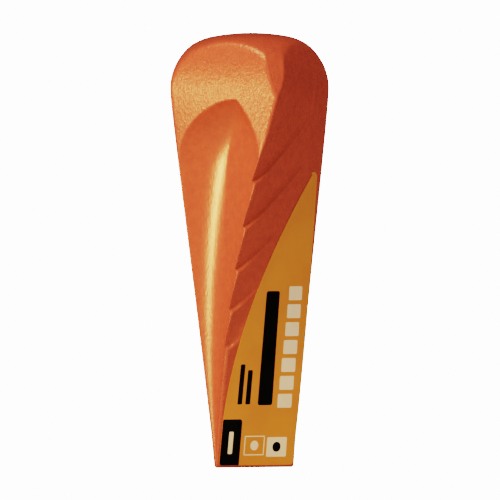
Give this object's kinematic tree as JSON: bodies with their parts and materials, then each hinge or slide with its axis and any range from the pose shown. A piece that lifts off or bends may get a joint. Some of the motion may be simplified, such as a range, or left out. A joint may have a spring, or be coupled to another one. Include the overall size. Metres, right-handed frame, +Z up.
{
  "type": "splitting wedge",
  "caption": "Twisted forged steel splitting wedge with a domed square head, two fluted sides, barbed ridges and a film label, orange powder coat.",
  "frame": {"origin": "middle of the cutting edge", "axes": "+Z up the wedge's axis to the striking head, +X along the cutting edge, -Y the labelled side at the edge"},
  "size_m": [0.084, 0.0828, 0.2235],
  "materials": {
    "powder_coated_steel": "glossy orange powder coat over a forged skin",
    "printed_film": "amber printed film with a black end panel"
  },
  "bodies": {
    "root": {"wedge_body": "powder_coated_steel", "label": "printed_film"}
  },
  "joints": []
}
